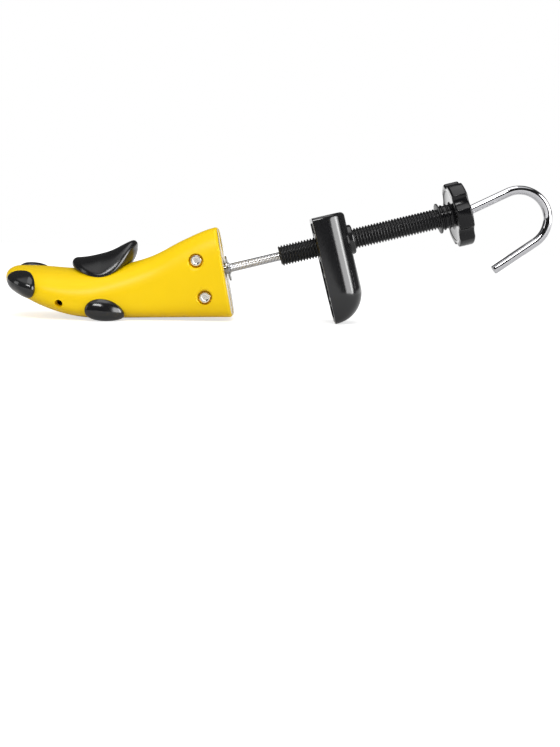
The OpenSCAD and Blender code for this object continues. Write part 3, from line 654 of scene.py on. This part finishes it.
for side in SIDES:
    half(side)


# Push-in plugs
def plug(name, side, place):
    """Oval dome whose underside follows the skin, with its peg."""
    m = skin_frame(place)
    length, width, high, edge, clear = 25.5, 15.5, 5.5, 1.2, 0.3
    axis = (m.to_3x3() @ Vector((0, 0, 1))).normalized()
    turns = [2 * math.pi * i / 96 for i in range(96)]

    def foot(r, a):
        """Point of the underside, found by halving the way through the skin."""
        x, y = r * length / 2 * math.cos(a), r * width / 2 * math.sin(a)
        p = m @ Vector((x, y, 0))
        lo, hi = -8.0, 3.0
        for _ in range(18):
            mid = (lo + hi) / 2
            if outside(p + axis * mid) > 0:
                hi = mid
            else:
                lo = mid
        return x, y, (lo + hi) / 2 + clear

    rims = [foot(1, a) for a in turns]
    rings = [[foot(r, a) for a in turns] for r in (0.2, 0.4, 0.6, 0.8, 0.93)]
    rings.append([(x * 0.985, y * 0.985, z) for x, y, z in rims])
    rings.append([(x, y, z + 0.25) for x, y, z in rims])
    rings.append([(x, y, z + 0.6) for x, y, z in rims])
    for r in (1.0, 0.995, 0.98, 0.955, 0.92, 0.87, 0.8, 0.72, 0.62, 0.5, 0.38, 0.26, 0.14, 0.05):
        bulge = (high - edge) * math.sqrt(max(0.0, 1 - r * r))
        rings.append([(x * r, y * r, z * r * r + edge + bulge) for x, y, z in rims])
    peg = revolve([(-8, 1.6), (-7.7, 2.1), (-7.2, 2.44), (1.0, 2.44)], 32)
    world = IN_LAST @ SIDES[side] @ m
    parts = [loft(rings), shifted(peg, UP)]
    build(name + "_dome", parts, world, name, BLACK, (name + "_plug",), sharp=50)


for side in SIDES:
    plug(side + "_toe", side, TOE_PLACES[side])
    plug(side + "_ball", side, BALL_PLACE)


# Instep saddle
def saddle():
    """Petal that rises from its front to its rear, hollowed along its middle, with an undercut wall."""
    length, width, rear_h, front_h, edge_h = 43.0, 47.0, 14.0, 7.0, 1.5
    # How far the foot draws in at the rear and at the front, and the radius of the upper edge
    rear_in, front_in, edge_r = 0.20, 0.16, 3.4
    turns = [2 * math.pi * i / 128 for i in range(128)]

    def where(r, a):
        return -SADDLE_AT + r * length / 2 * math.cos(a), r * width / 2 * math.sin(a)

    def seat(r, a):
        x, y = where(r, a)
        return x, y, crown_at(x, y) + 0.3

    def edge(a):
        c = math.cos(a)
        return edge_h + ((rear_h if c > 0 else front_h) - edge_h) * abs(c) ** 1.6

    front = crown_at(-SADDLE_AT - length / 2, 0) + front_h
    rear = crown_at(-SADDLE_AT + length / 2, 0) + rear_h

    def ridge(x):
        f = max(0.0, (x + SADDLE_AT) / length + 0.5)
        return front + (rear - front) * (0.25 * f + 0.75 * f**2.2)

    def cover(r, a):
        x, y = where(r, a)
        k = r**2.4
        return x, y, (seat(1, a)[2] + edge(a)) * k + ridge(x) * (1 - k)

    def foot(a):
        c = math.cos(a)
        return 1 - (rear_in if c > 0 else front_in) * abs(c) ** 2

    def wall(a, f):
        """Point of the wall at share f of its height: it bulges out, and ends in a round edge."""
        reach = math.hypot(length / 2 * math.cos(a), width / 2 * math.sin(a))
        low, high = seat(foot(a), a)[2], seat(1, a)[2] + edge(a)
        bend = min(0.75 * (high - low), edge_r)
        if f <= 1:
            r = foot(a) + (1 - foot(a)) * math.sin(math.pi / 2 * min(1.0, f * 1.15)) ** 0.8
            x, y = where(r, a)
            return x, y, low + (high - bend - low) * f
        t = (f - 1) * math.pi / 2
        r = 1 - bend * (1 - math.cos(t)) / reach
        x, y, z = cover(r, a)
        return x, y, z - bend * (1 - math.sin(t))

    rings = [[seat(foot(a) * r, a) for a in turns] for r in (0.25, 0.5, 0.75, 0.9, 0.97)]
    for f in (0.03, 0.15, 0.3, 0.45, 0.6, 0.75, 0.9, 1.0, 1.12, 1.25, 1.4, 1.55, 1.7, 1.85, 2.0):
        rings.append([wall(a, f) for a in turns])
    for r in (0.84, 0.78, 0.7, 0.6, 0.5, 0.4, 0.3, 0.2, 0.1, 0.03):
        rings.append([cover(r, a) for a in turns])
    top = crown_at(-SADDLE_AT, 0)
    peg = revolve([(top - 8, 1.8), (top - 7.5, 2.3), (top + 2, 2.3)], 32)
    peg = shifted(peg, Matrix.Translation((-SADDLE_AT, 0, 0)) @ UP)
    build("saddle_shell", [loft(rings), peg], IN_LAST, "saddle", SADDLE, ("instep_saddle",), sharp=42)


saddle()


# Rod, hook and screw tube
def thread(x0, x1, r, depth, pitch, n, steps, fade=1.0, root=0.12, slope=0.72):
    """Helical thread about the x axis, faded in and out over its ends.

    root and slope are the shares of half a pitch that the thread's foot and flank take.
    """
    count = int((x1 - x0) / pitch * steps)
    rings = []
    for k in range(count + 1):
        x = x0 + (x1 - x0) * k / count
        end = min(1.0, (x - x0) / (fade * pitch), (x1 - x) / (fade * pitch))
        ring = []
        for i in range(n):
            a = 2 * math.pi * i / n
            f = (x / pitch - i / n) % 1.0
            v = abs(f - 0.5) * 2
            g = min(1.0, max(0.0, (v - root) / slope))
            g = g * g * (3 - 2 * g) * 0.5 + g * 0.5
            rr = r - depth * (1 - g) - (1 - end) * depth * g * 0.7
            ring.append((x, rr * math.cos(a), rr * math.sin(a)))
        rings.append(ring)
    return loft(rings)


def swept(path, n=40):
    """Round bar along a path of (x, z, radius)."""
    rings = []
    for k, (x, z, r) in enumerate(path):
        a, b = path[max(k - 1, 0)], path[min(k + 1, len(path) - 1)]
        d = Vector((b[0] - a[0], 0, b[1] - a[1])).normalized()
        up = Vector((-d[2], 0, d[0]))
        rings.append([
            (x + up[0] * r * math.cos(t), -r * math.sin(t), z + up[2] * r * math.cos(t))
            for t in (2 * math.pi * i / n for i in range(n))
        ])
    return loft(rings)


def hook():
    """The bar's plain part up to the knob, a kink, a shank, the bow and the leg, then the rod's thread."""
    begin, end = 38.0, WHEEL_TO - 1.5
    kink, kink_r, shank = math.radians(11.8), 12.0, 29.5
    bow, bow_r, leg = math.radians(171), 19.1, 33.5
    plain = begin + 0.6
    path = [(plain + (end - plain) * i / 12, 0.0) for i in range(1, 13)]
    path += [(end + kink_r * math.sin(kink * i / 8), kink_r * (1 - math.cos(kink * i / 8))) for i in range(1, 9)]
    x, z = path[-1]
    path += [(x + shank * math.cos(kink) * i / 6, z + shank * math.sin(kink) * i / 6) for i in range(1, 7)]
    x, z = path[-1]
    cx, cz = x + bow_r * math.sin(kink), z - bow_r * math.cos(kink)
    turns = [math.pi / 2 + kink - bow * i / 64 for i in range(1, 65)]
    path += [(cx + bow_r * math.cos(a), cz + bow_r * math.sin(a)) for a in turns]
    x, z = path[-1]
    a = kink - bow
    far = leg - 0.6
    path += [(x + far * math.cos(a) * i / 6, z + far * math.sin(a) * i / 6) for i in range(1, 7)]
    bar = [(begin, 0.0, 2.55), (plain, 0.0, BAR_R)] + [(*p, BAR_R) for p in path]
    # The leg's end is rounded
    for d, r in ((0.25, 2.9), (0.5, 2.62), (0.6, 2.3)):
        bar.append((x + (far + d) * math.cos(a), z + (far + d) * math.sin(a), r))
    build("steel_hook", [swept(bar)], ON_ROD, "rod", BRIGHT, ("hook_rod",), sharp=40)
    screw = thread(-62.0, 38.2, BAR_R, 0.17, 1.0, 36, 10, fade=1.2, root=0.08, slope=0.5)
    build("rod_thread", [screw], ON_ROD, "rod", THREAD, ("hook_rod",), sharp=60)


def tube():
    """Threaded tube with its stop flange. The thread's end caps go, as they would close the bore."""
    bore, root = 3.35, 5.8
    v, f = thread(TUBE_FROM, FLANGE_FROM, 6.94, 1.15, 2.0, 56, 12, fade=0.5)
    screw = v, [face for face in f if len(face) == 4]
    core = revolve([
        (TUBE_FROM, bore), (TUBE_FROM, 5.75), (TUBE_FROM + 1, root), (152.0, root), (152.8, root), (152.8, bore)],
        48, True)
    flange = revolve([
        (FLANGE_FROM, 5.9), (FLANGE_FROM, 9.9), (144.75, 10.2), (145.5, 10.2), (FLANGE_TO, 9.95), (FLANGE_TO, 5.9)],
        80, True)
    build("tube_thread", [screw, core, flange], ON_ROD, "tube", BLACK_SATIN, ("screw_tube",), sharp=55)


hook()
tube()


# Knob
def knob():
    """Wheel with six rounded valleys and sunk faces, and a hub with two beads."""
    top_r, depth, valley_r, n = 21.6, 2.3, 8.0, 240
    centre = top_r - depth + valley_r
    valleys = [math.radians(60 * i + 9) for i in range(6)]
    turns = [2 * math.pi * i / n for i in range(n)]

    def radius(a):
        """Radius of the outline at angle a. blend softens the edges of the valleys."""
        blend = 0.35
        best = top_r
        for v in valleys:
            d = (a - v + math.pi) % (2 * math.pi) - math.pi
            if abs(d) < math.pi / 2 and abs(centre * math.sin(d)) < valley_r:
                x = centre * math.cos(d) - math.sqrt(valley_r * valley_r - (centre * math.sin(d)) ** 2)
                h = max(0.0, blend - abs(best - x)) / blend
                best = min(best, x) - h * h * blend / 4
        return best

    outline = [radius(a) for a in turns]

    # The valleys are counted from the axis that points down, square to the rod
    def lobed(x, inset):
        return [(x, (r - inset) * math.sin(a), -(r - inset) * math.cos(a)) for a, r in zip(turns, outline)]

    def plain(x, r):
        return [(x, r * math.sin(a), -r * math.cos(a)) for a in turns]

    x0, x1 = WHEEL_FROM, WHEEL_TO
    soft = [(0.0, 1.5), (0.1, 1.0), (0.32, 0.52), (0.75, 0.16), (1.3, 0.0)]
    rings = [plain(x0 + d, r) for d, r in ((0.5, 9.5), (0.5, 16.0), (0.35, 16.8), (0, 17.2))]
    rings += [lobed(x0 + d, i) for d, i in soft]
    rings += [lobed(x1 - d, i) for d, i in reversed(soft)]
    rings += [
        plain(x1 - d, r)
        for d, r in ((0, 17.2), (0.35, 16.8), (0.5, 16.0), (0.5, 7.2), (0, 6.6), (0, 4.0), (0.5, 3.35), (2, 3.35))
    ]
    wheel = loft(rings, first=False, last=False)
    h = 7.75
    hub = revolve([
        (FLANGE_TO, 6.02), (FLANGE_TO, h - 0.3), (146.0, h), (147.2, h), (147.4, h + 0.6), (147.7, h + 0.8),
        (148.2, h + 0.8), (148.5, h + 0.6), (148.7, h), (150.2, h), (150.4, h + 0.6), (150.7, h + 0.8),
        (151.2, h + 0.8), (151.5, h + 0.6), (151.7, h), (153.0, h), (153.6, h + 0.5), (154.2, h + 1.9), (154.2, 6.02)],
        96, True)
    o = build("knob_body", [wheel, hub], ON_ROD, "tube", KNOB, ("knob_wheel",), sharp=48)
    # The flat faces are polished, the rim and the hub are not
    o.data.materials.append(RIM)
    axis = (ON_ROD.to_3x3() @ Vector((1, 0, 0))).normalized()
    for face in o.data.polygons:
        if abs(face.normal.dot(axis)) < 0.9:
            face.material_index = 1


knob()


# Heel block
def heel():
    """Hollow block, open to the front, with ribs inside and a boss at the rear."""
    at, depth, half_y, top, low = 61.6, 22.5, 22.5, 19.4, 51.8
    # Radii that round it off below and above, and its wall
    big_r, top_r, wall = 20.5, 3.0, 3.0
    bore, clear = 7.0, 9.9
    # How far it draws in toward its ends, lengthwise and across, and the exponent of its section
    draw_x, draw_y, power = 0.93, 0.6, 0.75

    def ring(z, inset, n=64, soft=0.0):
        """Section at height z, open to the front."""
        big = big_r - inset
        q, g = min(z - (inset - low), big), min(top - inset - z, top_r)
        sink = big - math.sqrt(max(0.0, big * big - (big - q) ** 2))
        sink += top_r - math.sqrt(max(0.0, top_r**2 - (top_r - g) ** 2))
        deep = depth - inset - 1 - draw_x * sink
        wide = half_y - inset - draw_y * sink
        out = [(at, -wide + soft, z), (at + soft, -wide, z)]
        for i in range(n + 1):
            a = -math.pi / 2 + math.pi * i / n
            y = wide * math.copysign(abs(math.sin(a)) ** power, a)
            out.append((at + 1 + deep * abs(math.cos(a)) ** power, y, z))
        return out + [(at + soft, wide, z), (at, wide - soft, z)]

    def levels(inset, count):
        """Heights of the sections, close together where the block rounds off."""
        span = top + low - 2 * inset
        big = big_r - inset
        first = [big * (1 - math.cos(math.pi / 2 * i / count)) for i in range(1, count + 1)]
        first = [0.04] + [max(0.1, q) for q in first]
        middle = [big + (span - top_r - big) * i / 6 for i in range(1, 6)]
        last = [span - top_r * (1 - math.sin(math.pi / 2 * i / 8)) for i in range(0, 9)]
        return [q - low + inset for q in first + middle + last]

    outer = [ring(z, 0, soft=0.35) for z in levels(0, 22)]
    inner = [ring(z, wall) for z in levels(wall, 22)]
    o = build("heel_shell", [cup(outer, inner)], ON_ROD, "heel", BLACK, ("heel_block",), sharp=40)
    end = at + depth + 2.5
    cut(o, [(*revolve([(at + 2, clear), (end + 6, clear)], 64), ON_ROD)])

    def box(x0, x1, y0, y1, z0, z1):
        v = [(x, y, z) for x in (x0, x1) for y in (y0, y1) for z in (z0, z1)]
        return v, [(0, 1, 3, 2), (4, 6, 7, 5), (0, 4, 5, 1), (2, 3, 7, 6), (0, 2, 6, 4), (1, 5, 7, 3)]

    inside = loft([ring(z, 1.4, 32) for z in levels(1.4, 14)])
    past_boss = revolve([(at - 5, clear), (end + 5, clear)], 64)
    # Two upright ribs and three level ones
    for k, (y0, y1, z0, z1) in enumerate([
        (-8.9, -6.7, -60, 30), (6.7, 8.9, -60, 30),
        (-30, 30, -1.1, 1.1), (-30, 30, -21.1, -18.9), (-30, 30, -37.1, -34.9)
    ]):
        bar = box(at + 0.7, at + 30, y0, y1, z0, z1)
        rib = build("rib_%d" % k, [bar], ON_ROD, "heel", BLACK)
        cut(rib, [(*inside, ON_ROD)], "INTERSECT")
        cut(rib, [(*past_boss, ON_ROD)])
        smooth(rib.data, 40)
    boss = revolve([
        (at, bore), (at, 9.8), (at + 0.2, 10.0), (end - 1.2, 10.0), (end - 0.5, 9.75), (end - 0.1, 9.2), (end, 8.9),
        (end, 7.9), (end - 0.6, bore)], 96, True)
    build("heel_boss", [boss], ON_ROD, "heel", BLACK, ("heel_block",), sharp=40)
    smooth(o.data, 40)


heel()


# Thrust washer and screws
def washer():
    disc = revolve([
        (-3.7, 3.02), (-3.7, 3.75), (0.0, 3.75), (0.0, 8.2), (0.15, 8.45), (0.9, 8.5), (1.1, 8.3), (1.1, 3.9),
        (1.9, 3.7), (2.0, 3.5), (2.0, 3.02)], 96, True)
    build("washer_disc", [disc], ON_ROD, "rod", DISC, ("thrust_washer",), sharp=35)


def screw(name, side, place):
    """Socket head screw in its counterbore, with its threaded stem."""
    u, w = place
    m = ON_ROD @ SIDES[side] @ Matrix.Translation((u, 0, w)) @ OUTWARD
    x0, x1, socket, n = SCREW_SEAT, 19.8, 1.73, 48
    rings = [circle(x, r, n) for x, r in (
        (x0, 2.0), (x0, 3.4), (x0 + 0.1, 3.5), (x1 - 0.5, 3.5), (x1 - 0.2, 3.42), (x1 - 0.03, 3.2), (x1, 2.9),
        (x1, 2.25)
    )]

    def hexagon(x):
        out = []
        for i in range(n):
            a = 2 * math.pi * i / n
            k = (a + math.pi / 6) % (math.pi / 3) - math.pi / 6
            r = socket / math.cos(k)
            out.append((x, r * math.cos(a), r * math.sin(a)))
        return out

    rings += [hexagon(x1 - 0.25), hexagon(x1 - 1.7)]
    head = loft(rings, first=False)
    stem = thread(13.0, 17.1, 2.0, 0.35, 0.7, 24, 8)
    build(name + "_cap", [head, stem], m, side + "_half", SCREW, (name + "_screw",), sharp=32)


washer()
for side in SIDES:
    screw(side + "_upper", side, SCREWS[0])
    screw(side + "_lower", side, SCREWS[1])

# The mechanism inside keeps its solids and gets its finishes
PLATED = ("near_bracket", "far_bracket", "hinge_block", "near_hinge_pin", "far_hinge_pin", "near_cam_pin",
          "far_cam_pin", "retaining_clip", "rod_collar")
for names, finish in ((PLATED, ZINC), (("spreader_nut",), BRASS)):
    for name in names:
        nodes[name].data.materials.clear()
        nodes[name].data.materials.append(finish)
